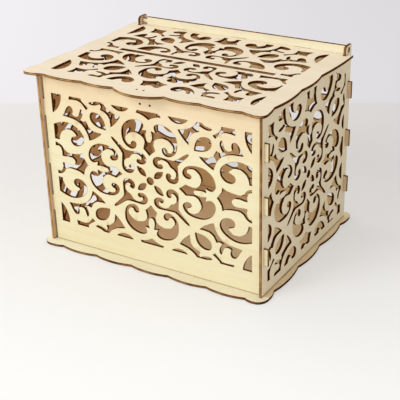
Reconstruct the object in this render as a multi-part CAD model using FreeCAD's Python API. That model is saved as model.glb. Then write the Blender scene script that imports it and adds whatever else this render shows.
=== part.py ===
import FreeCAD, Part
import math
import os

# Wedding card box, laser cut from plywood sheet. Millimetres, +Z up, front towards -Y.
# The origin is on the base plate's underside, below the middle of the walls.

# Sheet and walls
sheet = 3.0                 # thickness of every piece
body_width = 287.0          # over the outer faces of the end panels
body_depth = 222.0          # front to rear edge of the end panels
wall_height = 210.0
panel_recess = 4.6          # front and back panels stand this far inside the end panels' edges
left_shoulder_gap = 1.8     # between a front or back panel and the left end panel
right_shoulder_gap = 0.7
slot_clearance = 0.1        # all round a tab in its slot
foot_slot_end_gap = 0.8     # at each end of a foot tab in the base

# Tabs
tab_length = 20.5
tab_pitch = 60.6            # between the three tabs on one upright edge
tab_middle = 109.0          # height of the middle tab above the foot of the wall
right_tab_reach = 5.0       # how far a tab stands out of the right end panel
left_tab_reach = 1.2
foot_tab_offset_front = 66.5
foot_tab_offset_end = 50.0

# Scalloped plates
base_half_width = 151.5     # to the crest of the scallops
scallop_depth = 3.5
corner_inset = 4.4          # of a rounded corner, from its square corner along both sides
corner_run = 15.0           # where a corner lobe leaves the side
corner_lift = 0.7           # and how far inside the crest it is there
base_front_overhang = 11.0  # in front of the walls, to the crest
base_rear_overhang = 13.0
base_front_cusps = (25.3, 75.0, 124.0)
base_side_cusps = (29.0, 90.0)
base_cusp_shift = 2.8       # the cusps along the front and rear sit a little to the right

# Lid outline: the lid sits a little to the left, and its front corners are not quite alike
lid_scallop_depth = 3.0
lid_cusp_overhang = 3.5     # in front of the walls, to the cusps
lid_nose_reach = 15.0       # the middle lobe of the lid, in front of the walls
lid_nose_x = -3.0
lid_left_front_cusps = (-36.0, -78.0, -130.0)
lid_right_front_cusps = (30.0, 72.0, 122.5)
lid_left_corner = ((-143.0, -117.6), (-156.3, -116.6), (-159.2, -106.0))
lid_right_corner = ((135.0, -117.8), (146.3, -116.2), (148.6, -106.0))
lid_left_side_cusps = ((-155.0, -88.7), (-151.1, -28.3), (-151.1, 28.3))
lid_right_side_cusps = ((145.7, -88.7), (147.4, -29.0), (146.7, 22.0))
lid_left_wing = (-154.6, 104.0)     # rear corner outside the ear
lid_right_wing = (150.0, 101.0)

# Lid, hinge and card slot
lid_gap = 0.3               # between the wall tops and the closed lid
card_slot_length = 205.0
card_slot_x = -2.0          # middle of the slot
card_slot_width = 6.4
card_slot_band = 9.0        # plain wood each side of the slot's middle line
hinge_rise = 5.0            # hinge line above the upper face of the lid
strip_rise = 10.0           # top of the hinge strip above the upper face of the lid
strip_left_gap = 6.5        # between the hinge strip and the left ear
strip_right_gap = 0.5
tenon_height = 5.0
tenon_clearance = 0.085
tenon_reach = 0.7           # how far a tenon stands out of the ear
ear_half_width = 8.2
ear_rise = 5.7              # top of an ear above the hinge line
ear_front_radius = 5.0
ear_rear_radius = 2.0
ear_notch_gap = 0.7         # round an ear in the notch in the lid's rear edge
back_panel_drop = 1.5       # room under the turning hinge strip
lid_tab_length = 20.0
lid_tab_offset = 85.0

# Pilot holes for a small hasp
pilot_radius = 1.0
front_pilot_spacing = 12.6
front_pilot_height = 196.4  # above the foot of the wall
lid_pilot_spacing = 8.6
lid_pilot_x = -3.3          # midway between them
lid_pilot_from_front = 2.2  # behind the walls' front edges

# Openwork: corners of the field cut in each panel, and how the scroll pattern lies in it. A lay is
# the pattern's middle, its stretch along and up, and its lean: along for each unit up, up for each along.
# Heights on the walls are measured from the foot of the wall.
front_field = ((-127.9, 26.5), (129.3, 188.5))
front_lay = ((2.1, 107.0), (1.005, 0.995), (0.0175, -0.014))
back_lay = ((4.6, 106.0), (1.005, 0.995), (0.0175, -0.014))
end_field = ((-97.0, 12.0), (97.0, 202.0))
right_lay = ((1.4, 102.6), (1.003, 0.998), (0.0345, -0.021))
left_lay = ((5.8, 101.3), (1.031, 1.032), (-0.005, -0.021))
lid_field = ((-134.0, -95.5), (124.7, 94.0))
lid_lay = ((-2.8, -3.6), (1.018, 0.998), (-0.015, 0.0))
smallest_hole = 12.0            # square millimetres, below which a cut-off corner is left out
pattern_beyond = 140.0          # outlines that a field cuts off run out to here
widening = 1.16                 # the pattern is drawn this much wider than it is tall
centre_hole_radius = 4.4
medallion_along = (37.4, 45.4, 31.0)    # tip, length and half width, pointing sideways
medallion_up = (30.6, 39.5, 35.7)       # the same, pointing up

# Worked-out places
half_width = body_width / 2
half_depth = body_depth / 2
wall_top = sheet + wall_height
lid_bottom = wall_top + lid_gap
lid_top = lid_bottom + sheet
hinge_y = half_depth - ear_half_width
hinge_z = lid_top + hinge_rise
lid_rear_y = hinge_y - sheet / 2
lid_notch_y = hinge_y - ear_half_width - ear_notch_gap
lid_cusp_y = -half_depth - lid_cusp_overhang


# Drawing flat outlines

def vector(point):
    return FreeCAD.Vector(point[0], point[1], 0)


def smooth_edge(points):
    """A straight edge through two points, or a smooth curve through more."""
    if len(points) == 2:
        return Part.makeLine(vector(points[0]), vector(points[1]))
    curve = Part.BSplineCurve()
    curve.interpolate([vector(point) for point in points])
    return curve.toShape()


def runs_from(start, *runs):
    """Runs of points that meet at corners, each starting where the last one ends."""
    linked = []
    here = start
    for run in runs:
        linked.append([here] + run)
        here = run[-1]
    return linked


def face_of(runs):
    return Part.Face(Part.Wire([smooth_edge(run) for run in runs]))


def moved(runs, change):
    return [[change(point) for point in run] for run in runs]


def reversed_runs(runs):
    return [run[::-1] for run in reversed(runs)]


def polygon(points):
    return Part.Wire(Part.makePolygon([vector(point) for point in points + points[:1]]))


def rectangle(centre, width, height):
    left = centre[0] - width / 2
    low = centre[1] - height / 2
    corners = [(left, low), (left + width, low), (left + width, low + height), (left, low + height)]
    return polygon(corners)


def circle(centre, radius):
    return Part.Wire(Part.makeCircle(radius, vector(centre)))


def plate(outline, holes):
    """A sheet cut to an outline, lying on the XY plane."""
    face = Part.makeFace([outline] + holes, "Part::FaceMakerBullseye")
    return face.extrude(FreeCAD.Vector(0, 0, sheet))


# Scroll pattern: outlines of one quarter, x to the right and y up from the middle

def flip_x(point):
    return (-point[0], point[1])


def flip_y(point):
    return (point[0], -point[1])


def swap_diagonal(point):
    """Mirrors a point about the diagonal of the widened quarter."""
    return (point[1] * widening, point[0] / widening)


def on_diagonal(x):
    return (x, x / widening)


def both_sides(runs):
    """Closes half an outline with its mirror image about the diagonal."""
    return runs + reversed_runs(moved(runs, swap_diagonal))


def petal():
    return both_sides([[on_diagonal(5.3), (12.4, 6.4), on_diagonal(16.8)]])


def lens():
    """Pointed towards the middle of the pattern and rounded away from it."""
    half = [on_diagonal(57.2), (66, 50.3), (73, 53), (77.4, 58.2)]
    other_half = [swap_diagonal(point) for point in reversed(half)]
    return [half + [on_diagonal(76.3)] + other_half]


def trident():
    """Two curls that meet in a tail on the diagonal."""
    outer = [(48.8, 40.5), (45.8, 37.3), (39.4, 31), (36.6, 27), (36.2, 20), (36.7, 13), (35.7, 7.4),
             (32, 4.5), (28, 3.9), (24, 5.1), (21.4, 8.2), (21.2, 11.9), (23, 14.4), (25.6, 14.3),
             (27.3, 12.3), (26.4, 10.6)]
    inner = [(27.6, 9.3), (30.2, 9.1), (32.8, 11.2), (34.1, 14.4), (33.2, 18.2), (30.6, 21),
             on_diagonal(26.8)]
    return both_sides(runs_from(on_diagonal(50.2), outer, inner))


def medallion(tip, length, half_width):
    """Two scrolls back to back about a finger, pointing sideways."""
    shoulder = [(0.1, 0.1), (0.183, 0.205)]
    scroll = [(0.34, 0.165), (0.47, 0.18), (0.565, 0.3), (0.615, 0.45), (0.6, 0.63), (0.53, 0.77),
              (0.42, 0.865), (0.31, 0.86), (0.235, 0.79), (0.235, 0.665)]
    sweep = [(0.3, 0.635), (0.34, 0.565), (0.315, 0.49), (0.235, 0.47), (0.16, 0.51), (0.11, 0.6),
             (0.115, 0.72), (0.18, 0.86), (0.32, 0.97), (0.49, 1), (0.66, 0.985), (0.81, 0.89),
             (0.92, 0.75), (0.985, 0.56), (1, 0.42), (0.975, 0.29), (0.905, 0.2), (0.82, 0.205),
             (0.735, 0.255)]
    notch = [(0.75, 0.088)]
    half = runs_from((0, 0), shoulder, scroll, sweep, notch)
    finger = [(0.75, 0.088), (0.62, 0.115), (0.49, 0.1), (0.43, 0.065), (0.405, 0)]
    finger += [flip_y(point) for point in finger[-2::-1]]
    unit = half + [finger] + reversed_runs(moved(half, flip_y))
    return moved(unit, lambda point: (tip + length * point[0], half_width * point[1]))


def branch():
    """A three-cornered hole that ends in a hook about a curl."""
    outside = [(82, 37.5), (85.2, 44), (90, 49.2), (95.5, 52.2), (102, 54.2), (109, 55), (116, 55.5)]
    lobe = [(112.9, 60.1), (109.8, 65.9), (106.4, 68.3), (103.2, 67.3), (102, 64.4), (102.9, 60)]
    curl = [(100.8, 58.1), (98, 57.5), (95, 58.4), (92.7, 61.2), (91.6, 64.4), (90.2, 67.8)]
    hook = [(88.5, 65.6), (88.3, 62.4), (89.7, 58.4), (92.1, 54.6)]
    neck = [(88, 53.5), (84, 54.5)]
    inside = [(81.6, 49.8), (78, 45.9), (73, 44), (63, 43.6)]
    return runs_from((63, 43.6), [(71.2, 37), (80.5, 32)], outside, lobe, curl, hook, neck, inside)


def side_scroll():
    """A C-scroll that the field's edge cuts off."""
    inner = [(122.4, 30), (119.2, 35.3), (114.5, 38.6), (109.5, 39.6), (104.3, 38.8), (100.3, 36.3),
             (98.7, 33)]
    sweep = [(102, 31.8), (105.3, 30), (106.7, 27), (105.5, 23.6), (101.5, 21.2), (96.6, 21.5),
             (92, 24), (89, 28.6), (88.6, 33.4), (90.4, 37.6), (94.6, 41.8), (101.5, 45.6), (109.6, 47.5),
             (118.6, 46.6), (127.6, 43.4), (pattern_beyond, 40)]
    back = [(pattern_beyond, 24.5)]
    return runs_from((123.4, 24.5), inner, sweep, back, [(123.4, 24.5)])


def side_finger():
    """A finger between two waves that the field's edge cuts off, on the pattern's middle line."""
    corner = [(88.4, 4.5), (90.5, 8.7), (91.4, 13.6)]
    wave = [(96, 11.3), (103, 9.8), (109.5, 9.5), (114, 10.3), (118, 13.2), (121.3, 17), (125, 19),
            (pattern_beyond, 19.8)]
    end = [(pattern_beyond, 16.2)]
    return_wave = [(127, 16), (124, 15.5), (121.9, 13), (120.9, 9), (121.2, 4.5)]
    half = runs_from((84.8, 0), corner, wave, end, return_wave)
    finger = [(121.2, 4.5), (115.5, 4.7), (110, 5.1), (106.5, 4.5), (103.8, 2.7), (102.6, 0)]
    finger += [flip_y(point) for point in finger[-2::-1]]
    return half + [finger] + reversed_runs(moved(half, flip_y))


def edge_lens():
    """Half a lens against the field's edge."""
    curve = [(123.4, 63), (119, 71), (117.4, 79), (118.5, 86), (122.2, 91.5), (pattern_beyond, 96)]
    return runs_from((pattern_beyond, 53), curve, [(pattern_beyond, 53)])


def rhombus():
    """A four-sided hole with hollow sides and a tail, on the diagonal."""
    tail_corner = (82.8, 68.6)
    tail = [(84.6, 71), (87.5, 74), (91, 76.4), (96, 77.6), (106.2, 76.8)]
    side = [(105.2, 84), on_diagonal(108.6)]
    half = runs_from(tail_corner, tail, side)
    return both_sides(half) + [[swap_diagonal(tail_corner), tail_corner]]


def scroll_faces(lay):
    """Every hole of the whole pattern as it lies on a panel, as flat faces."""
    middle, stretch, lean = lay

    def laid(point):
        along = stretch[0] * point[0] + lean[0] * point[1]
        up = stretch[1] * point[1] + lean[1] * point[0]
        return (middle[0] + along, middle[1] + up)

    in_each_quarter = [petal(), trident(), lens(), rhombus(), edge_lens(), branch(), side_scroll()]
    in_each_quarter += [moved(runs, swap_diagonal) for runs in (branch(), side_scroll())]
    across = [medallion(*medallion_along), side_finger()]
    upward = [moved(medallion(*medallion_up), lambda point: (point[1], point[0]))]
    upward.append(moved(side_finger(), swap_diagonal))
    outlines = []
    for runs in in_each_quarter:
        left = moved(runs, flip_x)
        outlines += [runs, left, moved(runs, flip_y), moved(left, flip_y)]
    for runs in across:
        outlines += [runs, moved(runs, flip_x)]
    for runs in upward:
        outlines += [runs, moved(runs, flip_y)]
    faces = [face_of(moved(runs, laid)) for runs in outlines]
    faces.append(Part.Face(circle(middle, centre_hole_radius)))
    return faces


def openwork(field, lay, keep_clear=None):
    """The holes of the scroll pattern that fall inside a field, as wires."""
    low, high = field
    window = Part.Face(polygon([low, (high[0], low[1]), high, (low[0], high[1])]))
    if keep_clear:
        window = window.cut(keep_clear)
    wires = []
    for face in scroll_faces(lay):
        for piece in face.common(window).Faces:
            if piece.Area > smallest_hole:
                wires.append(piece.OuterWire)
    return wires


# Panels with tabs

def rounding(corner, step_x, step_y):
    """Where a rounded corner leaves its upright side and its level side."""
    return (corner[0], corner[1] + step_y), (corner[0] + step_x, corner[1])


def quarter_round(start, end, corner):
    middle = ((start[0] + end[0]) / 2, (start[1] + end[1]) / 2)
    reach = (math.sqrt(2) - 1)
    bend = (middle[0] + (corner[0] - middle[0]) * reach, middle[1] + (corner[1] - middle[1]) * reach)
    return Part.Arc(vector(start), vector(bend), vector(end)).toShape()


def tabbed_edge(start, end, tab_centres, length, reach):
    """Points from start to end of a straight edge, with square tabs on its right-hand side."""
    span = math.dist(start, end)
    along = ((end[0] - start[0]) / span, (end[1] - start[1]) / span)
    points = [start]
    for centre in tab_centres:
        for offset, out in ((-length / 2, 0), (-length / 2, reach), (length / 2, reach), (length / 2, 0)):
            place = centre + offset
            points.append((start[0] + along[0] * place + along[1] * out,
                           start[1] + along[1] * place - along[0] * out))
    return points


def long_panel(height):
    """Outline of a front or back panel, x from the middle of the box and y from the foot of the wall."""
    left = -(half_width - sheet - left_shoulder_gap)
    right = half_width - sheet - right_shoulder_gap
    heights = [tab_middle - tab_pitch, tab_middle, tab_middle + tab_pitch]
    falls = [height - place for place in reversed(heights)]
    feet = [-left - foot_tab_offset_front, -left + foot_tab_offset_front]
    right_reach = right_shoulder_gap + sheet + right_tab_reach
    left_reach = left_shoulder_gap + sheet + left_tab_reach
    points = tabbed_edge((left, 0), (right, 0), feet, tab_length, sheet)
    points += tabbed_edge((right, 0), (right, height), heights, tab_length, right_reach)
    points.append((right, height))
    points += tabbed_edge((left, height), (left, 0), falls, tab_length, left_reach)
    return polygon(points)


def stand_across(flat, y_front):
    """Stands a flat sheet up across the box, its face towards the front at y_front."""
    flat.rotate(FreeCAD.Vector(0, 0, 0), FreeCAD.Vector(1, 0, 0), 90)
    flat.translate(FreeCAD.Vector(0, y_front + sheet, sheet))
    return flat


def stand_along(flat, x_inner):
    """Stands a flat sheet up along the box, its lower-x face at x_inner."""
    flat.rotate(FreeCAD.Vector(0, 0, 0), FreeCAD.Vector(1, 1, 1), 120)
    flat.translate(FreeCAD.Vector(x_inner, 0, sheet))
    return flat


def front_panel():
    holes = openwork(front_field, front_lay)
    for side in (-1, 1):
        holes.append(circle((side * front_pilot_spacing / 2, front_pilot_height), pilot_radius))
    return stand_across(plate(long_panel(wall_height), holes), -half_depth + panel_recess)


def back_panel():
    holes = openwork(front_field, back_lay)
    outline = long_panel(wall_height - back_panel_drop)
    return stand_across(plate(outline, holes), half_depth - panel_recess - sheet)


def end_panel_outline():
    """Outline of an end panel with its hinge ear, x along the depth and y from the foot of the wall."""
    feet = [half_depth - foot_tab_offset_end, half_depth + foot_tab_offset_end]
    points = tabbed_edge((-half_depth, 0), (half_depth, 0), feet, tab_length, sheet)
    points.append((half_depth, 0))
    ear_front = half_depth - 2 * ear_half_width
    ear_top = hinge_z - sheet + ear_rise
    rear_low, rear_high = rounding((half_depth, ear_top), -ear_rear_radius, -ear_rear_radius)
    front_low, front_high = rounding((ear_front, ear_top), ear_front_radius, -ear_front_radius)
    foot = Part.makePolygon([vector(point) for point in points + [rear_low]]).Edges
    top = Part.makeLine(vector(rear_high), vector(front_high))
    down = [front_low, (ear_front, wall_height), (-half_depth, wall_height), (-half_depth, 0)]
    front = Part.makePolygon([vector(point) for point in down]).Edges
    return Part.Wire(foot + [quarter_round(rear_low, rear_high, (half_depth, ear_top)), top,
                             quarter_round(front_high, front_low, (ear_front, ear_top))] + front)


def end_panel(x_inner, lay):
    holes = openwork(end_field, lay)
    slot_place = half_depth - panel_recess - sheet / 2
    for side in (-1, 1):
        for step in (-1, 0, 1):
            centre = (side * slot_place, tab_middle + step * tab_pitch)
            holes.append(rectangle(centre, sheet + 2 * slot_clearance, tab_length + 2 * slot_clearance))
    tenon_half_diagonal = math.hypot(sheet, tenon_height) / 2
    holes.append(circle((hinge_y, hinge_z - sheet), tenon_half_diagonal + tenon_clearance))
    return stand_along(plate(end_panel_outline(), holes), x_inner)


# Scalloped plates

def mirrored(places):
    """Places on both sides of a middle, in order."""
    return [-place for place in reversed(places)] + list(places)


def lobe(start, end, bulge):
    """One scallop from cusp to cusp, standing out to the right of the way along."""
    span = math.dist(start, end)
    out = ((end[1] - start[1]) / span, (start[0] - end[0]) / span)
    crest = ((start[0] + end[0]) / 2 + out[0] * bulge, (start[1] + end[1]) / 2 + out[1] * bulge)
    return Part.Arc(vector(start), vector(crest), vector(end)).toShape()


def corner_lobe(before, corner, after):
    """The scallop around a square corner, from the cusp before it to the cusp after it."""
    step_x = -math.copysign(1, corner[0])
    step_y = -math.copysign(1, corner[1])
    bend = (corner[0] + step_x * corner_inset, corner[1] + step_y * corner_inset)
    on_level = (corner[0] + step_x * corner_run, corner[1] + step_y * corner_lift)
    on_upright = (corner[0] + step_x * corner_lift, corner[1] + step_y * corner_run)
    if abs(before[0] - corner[0]) > abs(before[1] - corner[1]):
        return smooth_edge([before, on_level, bend, on_upright, after])
    return smooth_edge([before, on_upright, bend, on_level, after])


def base_plate():
    front_y = -half_depth - base_front_overhang
    rear_y = half_depth + base_rear_overhang
    cusp_x = base_half_width - scallop_depth
    front_x = [x + base_cusp_shift for x in mirrored(base_front_cusps)]
    side_y = mirrored(base_side_cusps)
    sides = [[(x, front_y + scallop_depth) for x in front_x],
             [(cusp_x, y) for y in side_y],
             [(x, rear_y - scallop_depth) for x in reversed(front_x)],
             [(-cusp_x, y) for y in reversed(side_y)]]
    corners = [(base_half_width, front_y), (base_half_width, rear_y),
               (-base_half_width, rear_y), (-base_half_width, front_y)]
    edges = []
    for index, side in enumerate(sides):
        for start, end in zip(side, side[1:]):
            edges.append(lobe(start, end, scallop_depth))
        edges.append(corner_lobe(side[-1], corners[index], sides[(index + 1) % 4][0]))
    holes = []
    slot_length = tab_length + 2 * foot_slot_end_gap
    slot_width = sheet + 2 * slot_clearance
    long_y = half_depth - panel_recess - sheet / 2
    end_x = half_width - sheet / 2
    for a in (-1, 1):
        for b in (-1, 1):
            holes.append(rectangle((a * foot_tab_offset_front, b * long_y), slot_length, slot_width))
            holes.append(rectangle((a * end_x, b * foot_tab_offset_end), slot_width, slot_length))
    return plate(Part.Wire(edges), holes)


def lid_side(front_cusps, corner, side_cusps, wing):
    """Edges of one half of the lid, from the nose round to the notch for the ear."""
    bulge = math.copysign(lid_scallop_depth, wing[0])
    notch_outer = math.copysign(half_width + ear_notch_gap, wing[0])
    notch_inner = math.copysign(half_width - sheet - ear_notch_gap, wing[0])
    front = [(x, lid_cusp_y) for x in front_cusps]
    edges = [lobe(a, b, bulge) for a, b in zip(front, front[1:])]
    edges.append(smooth_edge([front[-1], *corner, side_cusps[0]]))
    edges += [lobe(a, b, bulge) for a, b in zip(side_cusps, side_cusps[1:])]
    edges.append(lobe(side_cusps[-1], wing, bulge / 2))
    notch = [wing, (notch_outer, wing[1]), (notch_outer, lid_notch_y), (notch_inner, lid_notch_y),
             (notch_inner, lid_rear_y)]
    return edges + Part.makePolygon([vector(point) for point in notch]).Edges


def lid_outline():
    left = lid_side(lid_left_front_cusps, lid_left_corner, lid_left_side_cusps, lid_left_wing)
    right = lid_side(lid_right_front_cusps, lid_right_corner, lid_right_side_cusps, lid_right_wing)
    nose = Part.Arc(vector((lid_left_front_cusps[0], lid_cusp_y)),
                    vector((lid_nose_x, -half_depth - lid_nose_reach)),
                    vector((lid_right_front_cusps[0], lid_cusp_y))).toShape()
    rear_half = half_width - sheet - ear_notch_gap
    tabs = [rear_half + step * lid_tab_offset for step in (-1, 0, 1)]
    rear = tabbed_edge((rear_half, lid_rear_y), (-rear_half, lid_rear_y), tabs, lid_tab_length, sheet)
    rear.append((-rear_half, lid_rear_y))
    rear_edges = Part.makePolygon([vector(point) for point in rear]).Edges
    return Part.Wire(Part.__sortEdges__([nose] + right + rear_edges + left))


def lid():
    band_length = card_slot_length + 2 * card_slot_band - card_slot_width
    slot_middle = (card_slot_x, 0)
    band = Part.Face(rectangle(slot_middle, band_length, 2 * card_slot_band))
    holes = openwork(lid_field, lid_lay, keep_clear=band)
    holes.append(rectangle(slot_middle, card_slot_length, card_slot_width))
    for side in (-1, 1):
        centre = (lid_pilot_x + side * lid_pilot_spacing / 2, -half_depth + lid_pilot_from_front)
        holes.append(circle(centre, pilot_radius))
    solid = plate(lid_outline(), holes)
    solid.translate(FreeCAD.Vector(0, 0, lid_bottom))
    return solid


def hinge_strip():
    """The strip along the lid's rear edge, with a tenon at each end, drawn from the lid's underside up."""
    left = -(half_width - sheet - strip_left_gap)
    right = half_width - sheet - strip_right_gap
    height = sheet + strip_rise
    tenon_middle = sheet + hinge_rise
    left_tenon = strip_left_gap + sheet + tenon_reach
    right_tenon = strip_right_gap + sheet + tenon_reach
    points = [(left, 0)]
    points += tabbed_edge((right, 0), (right, height), [tenon_middle], tenon_height, right_tenon)
    points.append((right, height))
    points += tabbed_edge((left, height), (left, 0), [height - tenon_middle], tenon_height, left_tenon)
    slots = []
    for step in (-1, 0, 1):
        centre = (step * lid_tab_offset, sheet / 2)
        slots.append(rectangle(centre, lid_tab_length + 2 * slot_clearance, sheet + 2 * slot_clearance))
    strip = plate(polygon(points), [])
    for slot in slots:
        strip = strip.cut(Part.Face(slot).extrude(FreeCAD.Vector(0, 0, sheet)))
    strip.rotate(FreeCAD.Vector(0, 0, 0), FreeCAD.Vector(1, 0, 0), 90)
    strip.translate(FreeCAD.Vector(0, lid_rear_y + sheet, lid_bottom))
    return strip


os.makedirs("parts", exist_ok=True)
pieces = {
    "base_plate": base_plate(),
    "front_panel": front_panel(),
    "back_panel": back_panel(),
    "left_panel": end_panel(-half_width, left_lay),
    "right_panel": end_panel(half_width - sheet, right_lay),
    "lid": lid(),
    "hinge_strip": hinge_strip(),
}
for name, shape in pieces.items():
    shape.exportStep("parts/" + name + ".step")
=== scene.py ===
import math
import bpy
from mathutils import Matrix, Vector


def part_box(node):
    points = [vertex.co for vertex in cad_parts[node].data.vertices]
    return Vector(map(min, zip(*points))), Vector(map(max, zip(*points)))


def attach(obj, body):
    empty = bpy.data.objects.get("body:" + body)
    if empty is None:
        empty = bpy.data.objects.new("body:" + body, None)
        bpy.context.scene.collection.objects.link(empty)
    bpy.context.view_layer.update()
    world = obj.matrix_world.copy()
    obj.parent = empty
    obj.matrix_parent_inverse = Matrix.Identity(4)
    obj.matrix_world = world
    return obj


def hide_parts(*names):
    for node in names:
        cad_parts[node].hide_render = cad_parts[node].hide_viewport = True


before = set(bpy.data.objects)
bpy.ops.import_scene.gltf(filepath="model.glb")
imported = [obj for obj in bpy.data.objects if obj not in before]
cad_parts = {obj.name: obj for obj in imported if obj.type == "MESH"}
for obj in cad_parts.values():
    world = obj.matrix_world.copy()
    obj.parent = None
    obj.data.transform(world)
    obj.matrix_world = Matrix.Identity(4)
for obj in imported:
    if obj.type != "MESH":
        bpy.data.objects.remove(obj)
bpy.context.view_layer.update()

# Sheets of the box: the body each rides on, the way its outer face looks, the way its grain runs, its
# veneer's tint, how deeply its outline and its holes are burnt, and how much painted shade darkens its cut
# walls that face the end of the grain
SHEETS = {
    "base_plate": {"body": "box", "face": (0, 0, 1), "grain": (1, 0, 0), "tint": "base",
                   "burn": (0.75, 1.0, 0.5)},
    "front_panel": {"body": "box", "face": (0, -1, 0), "grain": (1, 0, 0), "tint": "front",
                    "burn": (0.9, 1.2, 0.0)},
    "back_panel": {"body": "box", "face": (0, 1, 0), "grain": (1, 0, 0), "tint": "front",
                   "burn": (0.9, 1.1, 0.0)},
    "left_panel": {"body": "box", "face": (-1, 0, 0), "grain": (0, 1, 0), "tint": "end",
                   "burn": (0.15, 1.1, 0.0)},
    # The right panel's deeper burns are partly burn and partly painted shade on the box's shaded side
    "right_panel": {"body": "box", "face": (1, 0, 0), "grain": (0, 1, 0), "tint": "end",
                    "burn": (0.6, 1.5, 0.0)},
    "lid": {"body": "lid", "face": (0, 0, 1), "grain": (1, 0, 0), "tint": "lid",
            "burn": (0.45, 0.67, 0.7)},
    "hinge_strip": {"body": "lid", "face": (0, -1, 0), "grain": (1, 0, 0), "tint": "strip",
                    "burn": (0.8, 1.0, 0.0)},
}

# Veneer tints, linear: pale early wood and warmer late wood, then what smoke leaves of them inside the box.
# Some also say how painted shade from the lid's overhang darkens and warms the top, how dark the painted
# shadow of the box is on the base's right-hand strip, and how far soot and painted shade darken the foot.
TINTS = {
    "front": {"pale": (0.905, 0.835, 0.565), "warm": (0.87, 0.77, 0.485), "inside": (1.00, 0.79, 0.64),
              "top": (1.0, 0.90, 0.90), "foot": 0.35},
    "end": {"pale": (0.865, 0.745, 0.525), "warm": (0.82, 0.685, 0.46), "inside": (0.97, 0.74, 0.55),
            "foot": 0.85},
    "lid": {"pale": (0.935, 0.814, 0.62), "warm": (0.885, 0.75, 0.54), "inside": (1.0, 0.80, 0.66)},
    "strip": {"pale": (0.96, 0.92, 0.70), "warm": (0.93, 0.87, 0.63), "inside": (1.0, 0.80, 0.66)},
    "base": {"pale": (0.90, 0.845, 0.64), "warm": (0.86, 0.785, 0.56), "inside": (1.02, 0.76, 0.56),
             "painted_margin_shadow": (0.96, 0.82, 0.66)},
}
UNTINTED = (1.0, 1.0, 1.0)
CLEAN_FOOT = 0.0
SMOKE_AND_PAINTED_LIGHT_LEFT_RIGHT = (1.0, 0.2)       # how much smoke shows at the two ends of the box; less on the right is painted light
CLEAN_INSIDE_PAINTED_LIGHT = (1.09, 1.05, 1.03)   # the wood inside where no smoke settled, lifted above its own colour as painted light
SHADED_INNER_SIDE = (0.80, 0.67, 0.63)       # painted shade on the inner side where it comes out of the box, as on the tabs
SCORCH = (0.60, 0.32, 0.085)        # halo beside a cut
CORE = (0.60, 0.35, 0.135)          # bare core between the two burnt plies
CHAR = (0.098, 0.026, 0.002)        # burnt ply
SOOT = (0.045, 0.010, 0.0008)

# Noises of the finishes, in cells per metre along, across and through the sheet
GRAIN_CLOUDS = (7, 26, 7)
GRAIN_BANDS = (5, 170, 5)
GRAIN_FIBRES = (90, 2600, 90)
SCORCH_PATCHES = (160, 160, 160)
CHAR_PATCHES = (60, 60, 60)
CHAR_STREAKS = (2200, 2200, 250)
NEXT_GRAIN = (1.7, 0.9, 0.0)        # metres further on in the grain for each next sheet

# What those noises give: the values they run between, and what is made of these unless it is 0 and 1
TONE_RAMP = (0.38, 0.66)
FIBRE_RAMP = (0.25, 0.75, 0.955, 1.02)
SCORCH_RAMP = (0.3, 0.7, 0.5, 1.0)
CHAR_RAMP = (0.3, 0.7, -0.45, 0.15)
SOOT_RAMP = (0.35, 0.8, 0.0, 0.5)

# Surface of the veneer and of burnt walls
VENEER_ROUGHNESS = 0.62
VENEER_SHINE = 0.25
VENEER_RELIEF = {"Strength": 0.25, "Distance": 0.0001}
CHAR_ROUGHNESS = 0.9
CHAR_SHINE = 0.0
CHAR_RELIEF = {"Strength": 0.4, "Distance": 0.00015}
HALO_FALL = 0.8                     # how steeply the halo fades away from the cut
OUTER_PLY_BURN = 0.6                # how much deeper the outer plies are burnt than the core
EAR_BURN = 0.85                     # how deeply everything that stands above the lid is burnt

# Sheets and cut rims, in metres
SHEET = 0.003
OUTER_PLY = (0.0004, 0.0011)        # where the core turns into an outer ply, from the middle of the sheet
LID_SHADE_FROM_TO = (0.13, 0.205)        # heights between which painted shade from the lid's overhang darkens the front
SEAM = 0.0018                       # height of the seam along a panel's foot, darkened by soot and painted shade
BURN_WIDTH = 0.0010                 # of the halo beside a cut
LIP = 0.00026                       # the rim is broken by this much
WELD = 0.000002
OUTLINE_LENGTH = 0.4                # a longer cut is a sheet's outline or the card slot, a shorter one a hole
RAY_LENGTH = 0.02                   # how far the wood beside a cut is looked into
RAY_START = 0.00002

# Slants in degrees of the rays that look into the wood; the wide ones count only where a cut has no corner
RAY_SLANTS = (-40, -33, -17, 17, 33, 40)
WIDE_RAY_SLANTS = (-66, 66)

# Limits and shares along the cuts
FLAT_FACE = 0.5                     # a face whose normal rises more than this lies flat, the others are walls
NO_CORNER = 0.95                    # bluntness from which a cut has no corner
SHARPEST = 0.5                      # bluntness down to which a corner is mitred
ROOM_SHARE = 0.7                    # of the room that the scorched band may take up
LIP_SHARE = 0.3                     # of the band's width that the broken rim may take up
WIDTH_GAIN = 0.8                    # how fast the band may widen along a cut
FACE_WEIGHT = 2.0                   # of up and down against sideways, in the way that a swept face looks
SMOOTH_BEND = math.radians(30)      # a sharper edge stays sharp

# Camera as solved from the box's own corners in the photograph
CAMERA_PLACE = (0.5623, -0.9148, 0.5686)
CAMERA_TURN = (63.783, 1.325, 30.895)
CAMERA_LENS = 88.28
SENSOR_WIDTH = 36.0

# Stage
FLOOR_SIZE = 6.0
BACKDROP_COLOUR = (0.87, 0.855, 0.88)
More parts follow.
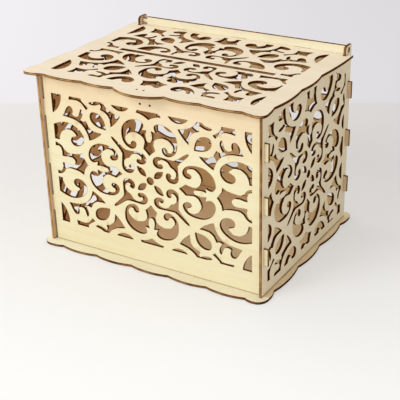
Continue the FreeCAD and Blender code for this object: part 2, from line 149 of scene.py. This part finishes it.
# Floor tones are painted light and shade: paler near the camera and on the left, painted shade further back
# and on the right
NEAR_FLOOR = (0.94, 0.94, 0.92)
FAR_FLOOR = ((0.77, 0.75, 0.74), (0.71, 0.69, 0.68))        # on the left and on the right
BACK_FLOOR = ((0.81, 0.795, 0.82), (0.74, 0.725, 0.745))    # the same where the floor is paler again
FLOOR_BACK = (-0.46, 0.888, 0.0)    # the way the floor runs to the back
FLOOR_RIGHT = (0.888, 0.46, 0.0)    # and to the right
NEAR_TO_FAR = (-0.4, 0.3)
LEFT_TO_RIGHT = (-0.35, 0.35)
FAR_TO_BACK = (0.436, 0.446)
FLOOR_GLOW = 0.45                   # how much of the floor's own shadow the camera does not see
FLOOR_LIGHT = 1.12                  # and how bright it shows there
FLOOR_ROUGHNESS = 0.8
FLOOR_SHINE = 0.1

# Light
ROOM_LIGHT = 0.67
LAMP_TARGET = (0, 0, 0.1)
LAMPS = {
    "window_light": {"place": (-1.1, -2.2, 1.9), "size": 1.6, "power": 33.5, "colour": (1.0, 0.98, 0.95)},
    "side_light": {"place": (-2.4, 0.2, 0.8), "size": 1.2, "power": 22.0, "colour": (1.0, 0.97, 0.93)},
}


# Building node trees

def add(tree, kind, inputs=None, **settings):
    """A node with its settings made and its inputs filled or linked."""
    made = tree.nodes.new(kind)
    for name, value in settings.items():
        setattr(made, name, value)
    for name, value in (inputs or {}).items():
        if isinstance(value, bpy.types.NodeSocket):
            tree.links.new(value, made.inputs[name])
        else:
            made.inputs[name].default_value = value
    return made


def sockets(tree, direction, wanted):
    for name, kind in wanted:
        tree.interface.new_socket(name, in_out=direction, socket_type="NodeSocket" + kind)


def math_of(tree, operation, first, second=0.0, clamp=False):
    return add(tree, "ShaderNodeMath", {0: first, 1: second}, operation=operation, use_clamp=clamp).outputs[0]


def vector_of(tree, operation, first, second=(0, 0, 0)):
    made = add(tree, "ShaderNodeVectorMath", {0: first, 1: second}, operation=operation)
    return made.outputs["Value" if operation in ("DOT_PRODUCT", "LENGTH") else "Vector"]


def scaled(tree, vector, factor):
    made = add(tree, "ShaderNodeVectorMath", {0: vector, "Scale": factor}, operation="SCALE")
    return made.outputs["Vector"]


def part_of(tree, vector, axis):
    return add(tree, "ShaderNodeSeparateXYZ", {0: vector}).outputs[axis]


def upright(tree, height):
    return add(tree, "ShaderNodeCombineXYZ", {2: height}).outputs[0]


def ramp_of(tree, value, low, high, to_low=0.0, to_high=1.0):
    inputs = {"Value": value, "From Min": low, "From Max": high, "To Min": to_low, "To Max": to_high}
    return add(tree, "ShaderNodeMapRange", inputs, interpolation_type="SMOOTHSTEP").outputs[0]


def mixed(tree, factor, first, second, blend="MIX"):
    made = add(tree, "ShaderNodeMix", {0: factor, 6: first, 7: second}, data_type="RGBA", blend_type=blend)
    return made.outputs[2]


def opaque(colour):
    return (*colour, 1)


def noise(tree, place, cells, detail=3.0, roughness=0.5):
    """Noise with so many cells per metre along, across and through the sheet."""
    spread = vector_of(tree, "MULTIPLY", place, cells)
    inputs = {"Vector": spread, "Scale": 1.0, "Detail": detail, "Roughness": roughness}
    return add(tree, "ShaderNodeTexNoise", inputs).outputs[0]


def faces_of(tree, mesh, chosen):
    return add(tree, "GeometryNodeSeparateGeometry", {"Geometry": mesh, "Selection": chosen},
               domain="FACE").outputs["Selection"]


def put(tree, geometry, **where):
    """The geometry with its points set to a position or moved by an offset."""
    return add(tree, "GeometryNodeSetPosition", {"Geometry": geometry, **where}).outputs[0]


def welded(tree, geometry):
    return add(tree, "GeometryNodeMergeByDistance", {"Geometry": geometry, "Distance": WELD}).outputs[0]


def stored(tree, geometry, name, value, kind="FLOAT", domain="POINT"):
    inputs = {"Geometry": geometry, "Name": name, "Value": value}
    return add(tree, "GeometryNodeStoreNamedAttribute", inputs, data_type=kind, domain=domain).outputs[0]


def value_at(tree, index, value, kind="FLOAT", domain="POINT"):
    return add(tree, "GeometryNodeFieldAtIndex", {"Value": value, "Index": index}, data_type=kind,
               domain=domain).outputs[0]


# Sheets with burnt cuts

def cut_lines(tree, given, top):
    """Lines of the cuts along the upper face, each with how deeply it is burnt, as an outline or a hole."""
    beside = tree.nodes.new("GeometryNodeInputMeshEdgeNeighbors").outputs["Face Count"]
    lines = add(tree, "GeometryNodeMeshToCurve",
                {"Mesh": top, "Selection": math_of(tree, "LESS_THAN", beside, 2.0)}).outputs[0]
    length = tree.nodes.new("GeometryNodeSplineLength").outputs["Length"]
    is_outline = math_of(tree, "GREATER_THAN", length, given["Outline length"])
    burn = add(tree, "ShaderNodeMix",
               {0: is_outline, 2: given["Hole burn"], 3: given["Outline burn"]}).outputs[0]
    lines = stored(tree, lines, "burn", burn, domain="CURVE")
    return add(tree, "GeometryNodeCurveToMesh", {"Curve": lines}).outputs[0]


def way_out(tree, walls, place, normal):
    """The way out of the wood at a point of a cut, and its bluntness: 1 where the cut has no corner."""
    wall_normal = add(tree, "GeometryNodeFieldOnDomain", {"Value": normal}, data_type="FLOAT_VECTOR",
                      domain="FACE").outputs[0]
    nearest = add(tree, "GeometryNodeSampleNearest", {"Geometry": walls, "Sample Position": place},
                  domain="POINT").outputs[0]
    from_walls = {"Geometry": walls, "Index": nearest}
    out, mean = [add(tree, "GeometryNodeSampleIndex", {**from_walls, "Value": value},
                     data_type="FLOAT_VECTOR", domain="POINT").outputs[0] for value in (normal, wall_normal)]
    out = vector_of(tree, "NORMALIZE", vector_of(tree, "MULTIPLY", out, (1, 1, 0)))
    return out, vector_of(tree, "DOT_PRODUCT", out, mean)


def ray_room(tree, walls, start, out, degrees):
    """Radius of the largest round of wood that touches the cut here and where a slanted ray meets a wall."""
    heading = add(tree, "ShaderNodeVectorRotate",
                  {"Vector": scaled(tree, out, -1.0), "Angle": math.radians(degrees)},
                  rotation_type="Z_AXIS").outputs[0]
    ray = add(tree, "GeometryNodeRaycast", {"Target Geometry": walls, "Source Position": start,
                                            "Ray Direction": heading, "Ray Length": RAY_LENGTH}).outputs
    radius = math_of(tree, "DIVIDE", ray["Hit Distance"], 2 * math.cos(math.radians(degrees)))
    return math_of(tree, "ADD", radius, math_of(tree, "SUBTRACT", 1.0, ray["Is Hit"]))


def room_beside(tree, walls, place, out, bluntness):
    """Radius of the round of wood that has room beside a point of a cut."""
    start = vector_of(tree, "MULTIPLY", place, (1, 1, 0))
    start = vector_of(tree, "SUBTRACT", start, scaled(tree, out, RAY_START))
    room = ray_room(tree, walls, start, out, 0)
    for degrees in RAY_SLANTS:
        room = math_of(tree, "MINIMUM", room, ray_room(tree, walls, start, out, degrees))
    at_corner = math_of(tree, "LESS_THAN", bluntness, NO_CORNER)
    for degrees in WIDE_RAY_SLANTS:
        slanted = math_of(tree, "ADD", ray_room(tree, walls, start, out, degrees), at_corner)
        room = math_of(tree, "MINIMUM", room, slanted)
    return room


def along_the_cut(tree, place, width):
    """The neighbours of a point on its cut: how far they reach out, and the width they leave to it."""
    index = tree.nodes.new("GeometryNodeInputIndex").outputs[0]
    ends = tree.nodes.new("GeometryNodeInputMeshEdgeVertices").outputs
    both = math_of(tree, "ADD", ends["Vertex Index 1"], ends["Vertex Index 2"])
    reach = None
    allowed = width
    for turn in (0, 1):
        edge = add(tree, "GeometryNodeEdgesOfVertex", {"Sort Index": turn}).outputs["Edge Index"]
        other = math_of(tree, "SUBTRACT", value_at(tree, edge, both, domain="EDGE"), index)
        step = vector_of(tree, "SUBTRACT", value_at(tree, other, place, kind="FLOAT_VECTOR"), place)
        spare = math_of(tree, "MULTIPLY", vector_of(tree, "LENGTH", step), WIDTH_GAIN)
        widened = math_of(tree, "ADD", value_at(tree, other, width), spare)
        allowed = math_of(tree, "MINIMUM", allowed, widened)
        reach = step if reach is None else vector_of(tree, "ADD", reach, step)
    return reach, allowed


def burnt_section(tree, given, walls, place, normal):
    """Upper half of the section of a cut: inner line of the scorch, rim and foot of the broken rim.

    The way out of the wood and the width of the scorched band come with them.
    """
    out, bluntness = way_out(tree, walls, place, normal)
    widest = math_of(tree, "MULTIPLY", room_beside(tree, walls, place, out, bluntness), ROOM_SHARE)
    width = math_of(tree, "MINIMUM", widest, given["Burn width"])
    reach, width = along_the_cut(tree, place, width)
    sticks_out = math_of(tree, "LESS_THAN", vector_of(tree, "DOT_PRODUCT", reach, out), 0.0)
    mitre = math_of(tree, "DIVIDE", 1.0, math_of(tree, "MAXIMUM", bluntness, SHARPEST))
    longer = math_of(tree, "MULTIPLY", sticks_out, math_of(tree, "SUBTRACT", mitre, 1.0))
    mitre = math_of(tree, "ADD", 1.0, longer)
    band = math_of(tree, "MINIMUM", math_of(tree, "MULTIPLY", width, mitre), widest)
    lip = math_of(tree, "MINIMUM", given["Lip"], math_of(tree, "MULTIPLY", width, LIP_SHARE))
    inner = vector_of(tree, "SUBTRACT", place, scaled(tree, out, band))
    rim = vector_of(tree, "SUBTRACT", place, scaled(tree, out, math_of(tree, "MULTIPLY", lip, mitre)))
    foot = vector_of(tree, "SUBTRACT", place, upright(tree, lip))
    return (("Inner", "VECTOR", inner), ("Rim", "VECTOR", rim), ("Foot", "VECTOR", foot),
            ("Out", "VECTOR", out), ("Width", "FLOAT", band))


def swept_cuts(tree, given, held, place, normal):
    """Scorched bands, broken rims and burnt walls along all cuts, and the inner line of the bands."""
    swept = put(tree, held["Geometry"], Position=held["Inner"])
    scorch_line = add(tree, "GeometryNodeMeshToCurve", {"Mesh": swept}).outputs[0]
    section = [held["Rim"], held["Foot"]]
    for name in ("Foot", "Rim", "Inner"):
        section.append(vector_of(tree, "MULTIPLY", held[name], (1, 1, -1)))
    leading = True
    for step in section:
        grown = add(tree, "GeometryNodeExtrudeMesh",
                    {"Mesh": swept, "Selection": leading, "Offset Scale": 0.0}, mode="EDGES").outputs
        leading = grown["Top"]
        swept = put(tree, grown["Mesh"], Selection=leading, Position=step)
    level = math_of(tree, "DIVIDE", part_of(tree, place, "Z"), given["Half thickness"])
    rising = upright(tree, math_of(tree, "MULTIPLY", level, FACE_WEIGHT))
    outward = vector_of(tree, "ADD", held["Out"], rising)
    inside_out = math_of(tree, "LESS_THAN", vector_of(tree, "DOT_PRODUCT", normal, outward), 0.0)
    swept = add(tree, "GeometryNodeFlipFaces", {"Mesh": swept, "Selection": inside_out}).outputs[0]
    stray = vector_of(tree, "MULTIPLY", vector_of(tree, "SUBTRACT", place, held["Inner"]), (1, 1, 0))
    scorch = math_of(tree, "DIVIDE", vector_of(tree, "LENGTH", stray), held["Width"])
    swept = stored(tree, swept, "scorch", math_of(tree, "MINIMUM", scorch, 1.0))
    # Cut walls facing the end of the grain, the right on the base and lid, are darkened as painted shade
    endward = math_of(tree, "MAXIMUM", part_of(tree, held["Out"], "X"), 0.0)
    swept = stored(tree, swept, "end_wall_shade", math_of(tree, "MULTIPLY", endward, given["End wall shade"]))
    return swept, scorch_line


def laser_cut_tree():
    """Makes a sheet that lies flat anew along its cuts: broken rims, burnt walls and a scorched band."""
    tree = bpy.data.node_groups.new("laser_cut_sheet", "GeometryNodeTree")
    sockets(tree, "INPUT", (("Sheet", "Geometry"), ("Half thickness", "Float"), ("Place shift", "Vector"),
                            ("Burn width", "Float"), ("Lip", "Float"), ("Outline length", "Float"),
                            ("Outline burn", "Float"), ("Hole burn", "Float"), ("End wall shade", "Float"),
                            ("Veneer", "Material"), ("Charred edge", "Material")))
    sockets(tree, "OUTPUT", (("Sheet", "Geometry"),))
    given = tree.nodes.new("NodeGroupInput").outputs
    half = given["Half thickness"]
    place = tree.nodes.new("GeometryNodeInputPosition").outputs["Position"]
    normal = tree.nodes.new("GeometryNodeInputNormal").outputs["Normal"]

    # The upper face gives the lines of the cuts, the walls give the way out of the wood
    sheet = welded(tree, given["Sheet"])
    upward = part_of(tree, normal, "Z")
    top = faces_of(tree, sheet, math_of(tree, "GREATER_THAN", upward, FLAT_FACE))
    steep = math_of(tree, "LESS_THAN", math_of(tree, "ABSOLUTE", upward), FLAT_FACE)
    walls = faces_of(tree, sheet, steep)

    # The lines hold their section before they are swept along it
    cuts = cut_lines(tree, given, top)
    held = add(tree, "GeometryNodeCaptureAttribute", {"Geometry": cuts}, domain="POINT")
    for name, kind, value in burnt_section(tree, given, walls, place, normal):
        held.capture_items.new(kind, name)
        tree.links.new(value, held.inputs[name])
    swept, scorch_line = swept_cuts(tree, given, held.outputs, place, normal)

    # Clean veneer on both faces, within the scorched bands
    veneer = add(tree, "GeometryNodeFillCurve", {"Curve": scorch_line}, mode="TRIANGLES").outputs[0]
    upper = put(tree, veneer, Offset=upright(tree, half))
    lower = put(tree, veneer, Offset=upright(tree, math_of(tree, "MULTIPLY", half, -1.0)))
    lower = add(tree, "GeometryNodeFlipFaces", {"Mesh": lower}).outputs[0]

    joined = add(tree, "GeometryNodeJoinGeometry")
    for piece in (swept, upper, lower):
        tree.links.new(piece, joined.inputs[0])
    whole = welded(tree, joined.outputs[0])
    sheet_place = vector_of(tree, "ADD", place, given["Place shift"])
    whole = stored(tree, whole, "sheet_place", sheet_place, kind="FLOAT_VECTOR")
    bend = tree.nodes.new("GeometryNodeInputMeshEdgeAngle").outputs["Unsigned Angle"]
    smooth = math_of(tree, "LESS_THAN", bend, SMOOTH_BEND)
    for domain, value in (("FACE", True), ("EDGE", smooth)):
        whole = add(tree, "GeometryNodeSetShadeSmooth", {"Geometry": whole, "Shade Smooth": value},
                    domain=domain).outputs[0]
    whole = add(tree, "GeometryNodeRealizeInstances", {"Geometry": whole}).outputs[0]
    whole = add(tree, "GeometryNodeSetMaterial", {"Geometry": whole, "Material": given["Veneer"]}).outputs[0]
    below_face = math_of(tree, "SUBTRACT", half, math_of(tree, "ABSOLUTE", part_of(tree, place, "Z")))
    in_the_cut = math_of(tree, "GREATER_THAN", below_face, WELD)
    whole = add(tree, "GeometryNodeSetMaterial", {"Geometry": whole, "Selection": in_the_cut,
                                                  "Material": given["Charred edge"]}).outputs[0]
    add(tree, "NodeGroupOutput", {"Sheet": whole})
    return tree


def flat_turn(sheet):
    """Turns a sheet so that its grain runs along X and its outer face looks up."""
    face = Vector(sheet["face"])
    grain = Vector(sheet["grain"])
    return Matrix((grain, face.cross(grain), face)).to_4x4()


def bare_copy(node):
    """A copy of a CAD sheet's mesh with nothing but its triangles."""
    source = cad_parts[node].data
    mesh = bpy.data.meshes.new(node + "_bare")
    mesh.from_pydata([v.co for v in source.vertices], [], [tuple(p.vertices) for p in source.polygons])
    return mesh


def finished_sheet(node, number, tree, veneer, charred_edge):
    sheet = SHEETS[node]
    low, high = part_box(node)
    face = Vector(sheet["face"])
    half_thickness = abs((high - low).dot(face)) / 2
    laid_flat = Matrix.Translation((0, 0, -((low + high) / 2).dot(face))) @ flat_turn(sheet)
    piece = bpy.data.objects.new("cut_" + node, bare_copy(node))
    bpy.context.scene.collection.objects.link(piece)
    piece.data.transform(laid_flat)
    cutting = piece.modifiers.new("laser cut", "NODES")
    cutting.node_group = tree
    outline_burn, hole_burn, end_wall_shade = sheet["burn"]
    values = {"Half thickness": half_thickness, "Place shift": [step * number for step in NEXT_GRAIN],
              "Burn width": BURN_WIDTH, "Lip": LIP, "Outline length": OUTLINE_LENGTH,
              "Outline burn": outline_burn, "Hole burn": hole_burn, "End wall shade": end_wall_shade,
              "Veneer": veneer, "Charred edge": charred_edge}
    for socket in tree.interface.items_tree:
        if socket.in_out == "INPUT" and socket.name in values:
            cutting[socket.identifier] = values[socket.name]
    bpy.context.view_layer.update()
    evaluated = piece.evaluated_get(bpy.context.evaluated_depsgraph_get())
    mesh = bpy.data.meshes.new_from_object(evaluated)
    piece.modifiers.remove(cutting)
    bare = piece.data
    piece.data = mesh
    bpy.data.meshes.remove(bare)
    mesh.transform(laid_flat.inverted())
    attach(piece, sheet["body"])
    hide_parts(node)


# Finishes

def veneer_group():
    """Grain of a pale peeled veneer."""
    tree = bpy.data.node_groups.new("peeled_veneer", "ShaderNodeTree")
    sockets(tree, "INPUT", (("Place", "Vector"), ("Pale", "Color"), ("Warm", "Color")))
    sockets(tree, "OUTPUT", (("Color", "Color"), ("Height", "Float")))
    given = tree.nodes.new("NodeGroupInput").outputs
    clouds = noise(tree, given["Place"], GRAIN_CLOUDS, detail=2.0)
    bands = noise(tree, given["Place"], GRAIN_BANDS, detail=4.0, roughness=0.6)
    fibres = noise(tree, given["Place"], GRAIN_FIBRES, detail=2.0)
    tone = math_of(tree, "MULTIPLY", math_of(tree, "ADD", clouds, bands), 0.5)
    colour = mixed(tree, ramp_of(tree, tone, *TONE_RAMP), given["Pale"], given["Warm"])
    colour = scaled(tree, colour, ramp_of(tree, fibres, *FIBRE_RAMP))
    add(tree, "NodeGroupOutput", {"Color": colour, "Height": fibres})
    return tree


def scorch_group():
    """The uneven brown halo that a laser leaves beside its cut."""
    tree = bpy.data.node_groups.new("scorch_halo", "ShaderNodeTree")
    sockets(tree, "INPUT", (("Place", "Vector"), ("Scorch", "Float")))
    sockets(tree, "OUTPUT", (("Mask", "Float"),))
    given = tree.nodes.new("NodeGroupInput").outputs
    near = math_of(tree, "POWER", given["Scorch"], HALO_FALL)
    patchy = ramp_of(tree, noise(tree, given["Place"], SCORCH_PATCHES), *SCORCH_RAMP)
    add(tree, "NodeGroupOutput", {"Mask": math_of(tree, "MULTIPLY", near, patchy)})
    return tree


def stain_light_and_shade_group():
    """The inside of the box and how much smoke settled in it, with painted light brightening it towards the
    right end; painted shade from the lid's overhang near the top, a painted shadow of the box on the base's
    strip right of the walls, and soot with painted shade along a panel's foot.
    """
    tree = bpy.data.node_groups.new("stained_lit_and_shaded_places", "ShaderNodeTree")
    sockets(tree, "INPUT", (("Place", "Vector"),))
    sockets(tree, "OUTPUT", (("Inside", "Float"), ("Smoke_and_painted_light", "Float"), ("Top", "Float"), ("Margin", "Float"),
                             ("Foot", "Float")))
    given = tree.nodes.new("NodeGroupInput").outputs
    low = Vector((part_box("left_panel")[0].x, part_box("front_panel")[0].y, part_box("base_plate")[0].z))
    high = Vector((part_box("right_panel")[1].x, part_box("back_panel")[1].y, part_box("lid")[1].z))
    half_sheet = Vector((SHEET, SHEET, SHEET)) / 2
    away = vector_of(tree, "ABSOLUTE", vector_of(tree, "SUBTRACT", given["Place"], (low + high) / 2))
    past = vector_of(tree, "SUBTRACT", away, (high - low) / 2 - half_sheet)
    past = add(tree, "ShaderNodeSeparateXYZ", {0: past}).outputs
    furthest = math_of(tree, "MAXIMUM", math_of(tree, "MAXIMUM", past["X"], past["Y"]), past["Z"])
    within = math_of(tree, "LESS_THAN", furthest, 0.0)
    place = add(tree, "ShaderNodeSeparateXYZ", {0: given["Place"]}).outputs
    # Painted shadow of the box on the base's strip right of the walls, behind the front
    right_of_walls = math_of(tree, "GREATER_THAN", place["X"], high.x - SHEET / 2)
    behind_front = math_of(tree, "GREATER_THAN", place["Y"], low.y)
    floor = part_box("base_plate")[1].z
    # Smoke fades towards the right end as painted light; the top takes painted shade from the lid's overhang,
    # and the foot soot and painted shade
    add(tree, "NodeGroupOutput", {"Inside": within,
                                  "Smoke_and_painted_light": ramp_of(tree, place["X"], low.x, high.x, *SMOKE_AND_PAINTED_LIGHT_LEFT_RIGHT),
                                  "Top": ramp_of(tree, place["Z"], *LID_SHADE_FROM_TO),
                                  "Margin": math_of(tree, "MULTIPLY", right_of_walls, behind_front),
                                  "Foot": ramp_of(tree, place["Z"], floor + SEAM, floor + SEAM / 3)})
    return tree


def new_finish(name, roughness, shine):
    material = bpy.data.materials.new(name)
    material.use_nodes = True
    shader = material.node_tree.nodes["Principled BSDF"]
    shader.inputs["Roughness"].default_value = roughness
    shader.inputs["Specular IOR Level"].default_value = shine
    return material, material.node_tree, shader


def attribute(tree, name, output):
    return add(tree, "ShaderNodeAttribute", attribute_name=name).outputs[output]


def object_place(tree):
    return tree.nodes.new("ShaderNodeTexCoord").outputs["Object"]


def effect(tree, group, **inputs):
    return add(tree, "ShaderNodeGroup", inputs, node_tree=group).outputs


def emboss(tree, shader, relief, height):
    bump = add(tree, "ShaderNodeBump", {**relief, "Height": height})
    tree.links.new(bump.outputs["Normal"], shader.inputs["Normal"])


def veneer_finish(name, tint, groups):
    """Veneer of one tint: its grain, its stains with painted light and shade, the halo beside its cuts and
    the soot and painted shade at its foot.
    """
    material, tree, shader = new_finish(name, VENEER_ROUGHNESS, VENEER_SHINE)
    place = attribute(tree, "sheet_place", "Vector")
    wood = effect(tree, groups["grain"], Place=place, Pale=opaque(tint["pale"]), Warm=opaque(tint["warm"]))
    halo = effect(tree, groups["scorch"], Place=place, Scorch=attribute(tree, "scorch", "Fac"))
    stained_lit_and_shaded = effect(tree, groups["stain_light_and_shade"], Place=object_place(tree))
    # The inner side outside the box takes painted shade
    hidden_side = math_of(tree, "LESS_THAN", part_of(tree, place, "Z"), 0.0)
    stain_light_and_shade = mixed(tree, hidden_side, opaque(UNTINTED), opaque(SHADED_INNER_SIDE))
    # Painted shade from the lid's overhang, warmer and darker towards the top
    stain_light_and_shade = mixed(tree, stained_lit_and_shaded["Top"], stain_light_and_shade, opaque(tint.get("top", UNTINTED)), blend="MULTIPLY")
    # Painted shadow of the box on the base's strip right of the walls
    stain_light_and_shade = mixed(tree, stained_lit_and_shaded["Margin"], stain_light_and_shade, opaque(tint.get("painted_margin_shadow", UNTINTED)), blend="MULTIPLY")
    # Smoke inside the box, giving way to painted light towards the right end
    smoke_and_painted_light = mixed(tree, stained_lit_and_shaded["Smoke_and_painted_light"], opaque(CLEAN_INSIDE_PAINTED_LIGHT), opaque(tint["inside"]))
    stain_light_and_shade = mixed(tree, stained_lit_and_shaded["Inside"], stain_light_and_shade, smoke_and_painted_light)
    colour = mixed(tree, 1.0, wood["Color"], stain_light_and_shade, blend="MULTIPLY")
    colour = mixed(tree, halo["Mask"], colour, opaque(SCORCH))
    # Soot and painted shade in the seam along a panel's foot
    soot_and_shade_at_foot = math_of(tree, "MULTIPLY", stained_lit_and_shaded["Foot"], tint.get("foot", CLEAN_FOOT))
    colour = mixed(tree, soot_and_shade_at_foot, colour, opaque(CHAR))
    tree.links.new(colour, shader.inputs["Base Color"])
    emboss(tree, shader, VENEER_RELIEF, wood["Height"])
    return material


def charred_finish():
    """The burnt wall of a cut: plies, streaks across the sheet and soot."""
    material, tree, shader = new_finish("charred_edge", CHAR_ROUGHNESS, CHAR_SHINE)
    place = attribute(tree, "sheet_place", "Vector")
    above_lid = math_of(tree, "GREATER_THAN", part_of(tree, object_place(tree), "Z"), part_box("lid")[1].z)
    # Painted shade is added to the burn on cut walls facing the end of the grain
    burn = math_of(tree, "ADD", attribute(tree, "burn", "Fac"), attribute(tree, "end_wall_shade", "Fac"))
    burn = math_of(tree, "MAXIMUM", burn, math_of(tree, "MULTIPLY", above_lid, EAR_BURN))
    through = math_of(tree, "ABSOLUTE", part_of(tree, place, "Z"))
    outer_ply = ramp_of(tree, through, *OUTER_PLY)
    patches = noise(tree, place, CHAR_PATCHES)
    streaks = noise(tree, place, CHAR_STREAKS, detail=2.0)
    depth = math_of(tree, "ADD", math_of(tree, "MULTIPLY", outer_ply, OUTER_PLY_BURN), burn)
    depth = math_of(tree, "ADD", depth, ramp_of(tree, patches, *CHAR_RAMP))
    colour = mixed(tree, math_of(tree, "MINIMUM", depth, 1.0, clamp=True), opaque(CORE), opaque(CHAR))
    sooty = math_of(tree, "MULTIPLY", ramp_of(tree, streaks, *SOOT_RAMP), burn)
    overburnt = math_of(tree, "MAXIMUM", math_of(tree, "SUBTRACT", burn, 1.0), 0.0)
    colour = mixed(tree, math_of(tree, "ADD", sooty, overburnt, clamp=True), colour, opaque(SOOT))
    tree.links.new(colour, shader.inputs["Base Color"])
    emboss(tree, shader, CHAR_RELIEF, streaks)
    return material


# Stage, light and camera

def seen_directly(tree):
    """1 for a ray from the camera, or one that a mirror or glass sends on."""
    path = tree.nodes.new("ShaderNodeLightPath").outputs
    direct = math_of(tree, "MAXIMUM", path["Is Camera Ray"], path["Is Glossy Ray"])
    return math_of(tree, "MAXIMUM", direct, path["Is Transmission Ray"])


def pale_floor():
    half = FLOOR_SIZE / 2
    corners = [(-half, -half, 0), (half, -half, 0), (half, half, 0), (-half, half, 0)]
    mesh = bpy.data.meshes.new("floor")
    mesh.from_pydata(corners, [], [(0, 1, 2, 3)])
    floor = bpy.data.objects.new("floor", mesh)
    bpy.context.scene.collection.objects.link(floor)
    material, tree, shader = new_finish("floor_paper", FLOOR_ROUGHNESS, FLOOR_SHINE)
    where = object_place(tree)
    back = vector_of(tree, "DOT_PRODUCT", where, FLOOR_BACK)
    # Painted light near the camera and on the left, painted shade further back and on the right
    right = ramp_of(tree, vector_of(tree, "DOT_PRODUCT", where, FLOOR_RIGHT), *LEFT_TO_RIGHT)
    far = mixed(tree, right, *[opaque(tone) for tone in FAR_FLOOR])
    beyond = mixed(tree, right, *[opaque(tone) for tone in BACK_FLOOR])
    colour = mixed(tree, ramp_of(tree, back, *NEAR_TO_FAR), opaque(NEAR_FLOOR), far)
    colour = mixed(tree, ramp_of(tree, back, *FAR_TO_BACK), colour, beyond)
    tree.links.new(colour, shader.inputs["Base Color"])
    glow = add(tree, "ShaderNodeEmission", {"Color": colour, "Strength": FLOOR_LIGHT})
    share = math_of(tree, "MULTIPLY", seen_directly(tree), FLOOR_GLOW)
    chosen = add(tree, "ShaderNodeMixShader", {0: share, 1: shader.outputs[0], 2: glow.outputs[0]})
    tree.links.new(chosen.outputs[0], tree.nodes["Material Output"].inputs["Surface"])
    mesh.materials.append(material)


def area_lamp(name, place, size, power, colour):
    lamp = bpy.data.lights.new(name, "AREA")
    lamp.shape = "DISK"
    lamp.size = size
    lamp.energy = power
    lamp.color = colour
    holder = bpy.data.objects.new(name, lamp)
    bpy.context.scene.collection.objects.link(holder)
    holder.location = place
    holder.rotation_euler = (Vector(LAMP_TARGET) - Vector(place)).to_track_quat("-Z", "Y").to_euler()


def studio_light():
    world = bpy.data.worlds.new("studio")
    bpy.context.scene.world = world
    world.use_nodes = True
    tree = world.node_tree
    light = tree.nodes["Background"]
    light.inputs["Color"].default_value = (1.0, 1.0, 1.0, 1)
    light.inputs["Strength"].default_value = ROOM_LIGHT
    seen = add(tree, "ShaderNodeBackground", {"Color": opaque(BACKDROP_COLOUR), "Strength": 1.0})
    chosen = add(tree, "ShaderNodeMixShader",
                 {0: seen_directly(tree), 1: light.outputs[0], 2: seen.outputs[0]})
    tree.links.new(chosen.outputs[0], tree.nodes["World Output"].inputs["Surface"])
    for name, lamp in LAMPS.items():
        area_lamp(name, **lamp)


def photo_camera():
    camera = bpy.data.objects.new("camera", bpy.data.cameras.new("camera"))
    bpy.context.scene.collection.objects.link(camera)
    camera.location = CAMERA_PLACE
    camera.rotation_euler = [math.radians(turn) for turn in CAMERA_TURN]
    camera.data.lens = CAMERA_LENS
    camera.data.sensor_width = SENSOR_WIDTH
    bpy.context.scene.camera = camera


def card_box():
    tree = laser_cut_tree()
    groups = {"grain": veneer_group(), "scorch": scorch_group(), "stain_light_and_shade": stain_light_and_shade_group()}
    veneers = {}
    for name, tint in TINTS.items():
        veneers[name] = veneer_finish(name + "_veneer", tint, groups)
    charred_edge = charred_finish()
    for number, node in enumerate(SHEETS):
        finished_sheet(node, number, tree, veneers[SHEETS[node]["tint"]], charred_edge)


card_box()
pale_floor()
studio_light()
photo_camera()
bpy.context.scene.view_settings.view_transform = "Standard"
